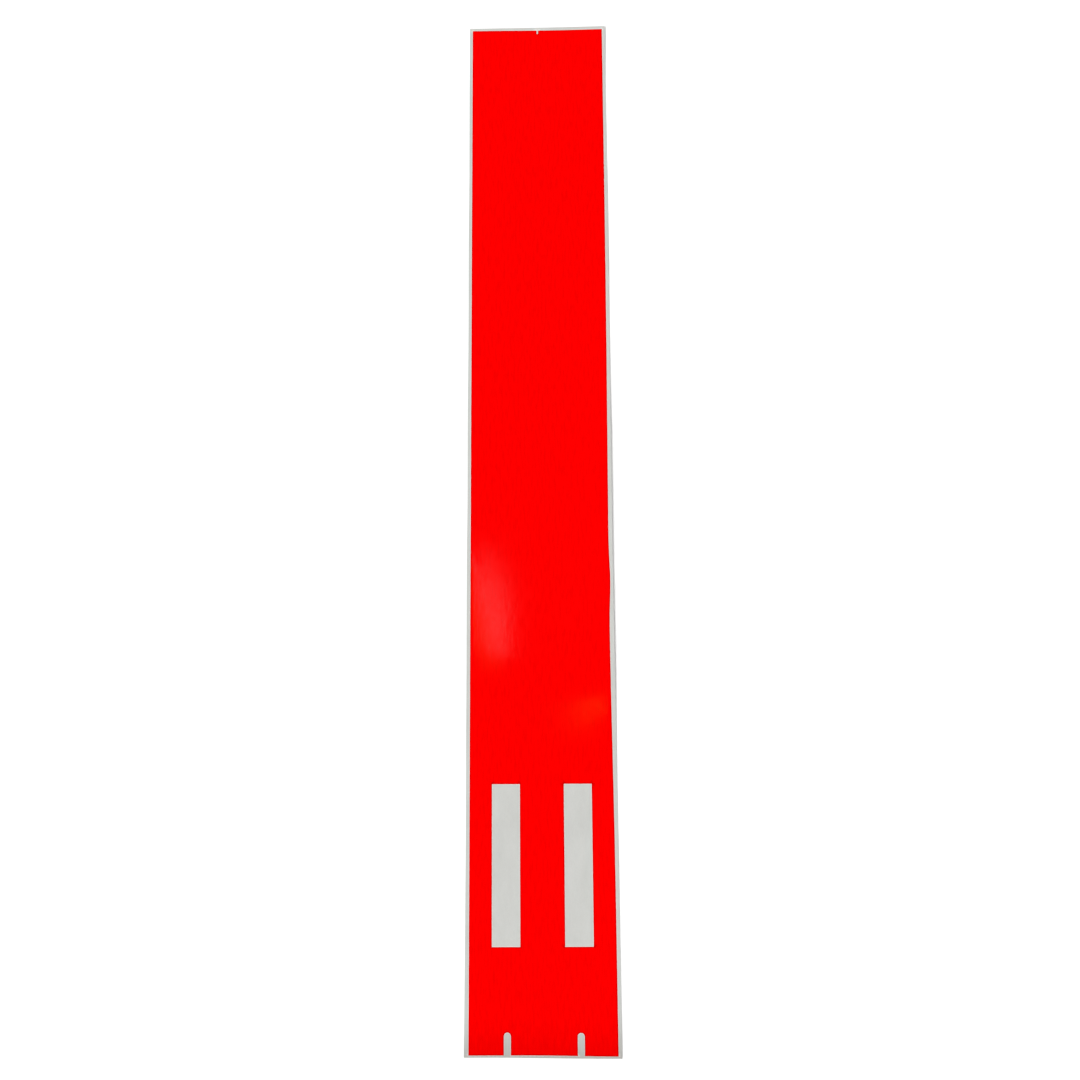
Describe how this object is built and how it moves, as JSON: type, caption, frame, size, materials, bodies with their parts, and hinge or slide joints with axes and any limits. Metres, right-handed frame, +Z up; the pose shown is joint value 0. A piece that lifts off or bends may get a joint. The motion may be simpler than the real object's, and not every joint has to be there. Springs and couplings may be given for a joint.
{
  "type": "self-adhesive skin strip",
  "caption": "Long flat strip of self-adhesive red film with windows, open slots and a centring notch, kiss-cut on a pale release liner.",
  "frame": {"origin": "middle of the liner's underside, the face that the strip lies on", "axes": "+X across the strip, +Y along it from the slotted end to the notched end, +Z up from the liner to the red face"},
  "size_m": [0.15, 1.072, 0.0003],
  "materials": {
    "liner_paper": "matte",
    "release_coat": "satin",
    "adhesive": "satin",
    "red_film": "gloss"
  },
  "bodies": {
    "liner": {"liner_paper": "liner_paper", "release_coat": "release_coat"},
    "film": {"adhesive": "adhesive", "red_film": "red_film"},
    "peel_end": {"adhesive_peel_end": "adhesive", "red_film_peel_end": "red_film"}
  },
  "joints": [
    {"name": "film_lift", "type": "slide", "parent": "liner", "child": "film", "axis": [0, 0, 1], "range_m": [0, 0.08]},
    {"name": "peel", "type": "hinge", "parent": "film", "child": "peel_end", "pos_m": [0, 0.292, 0.00029], "axis": [1, 0, 0], "range_deg": [0, 150]}
  ]
}
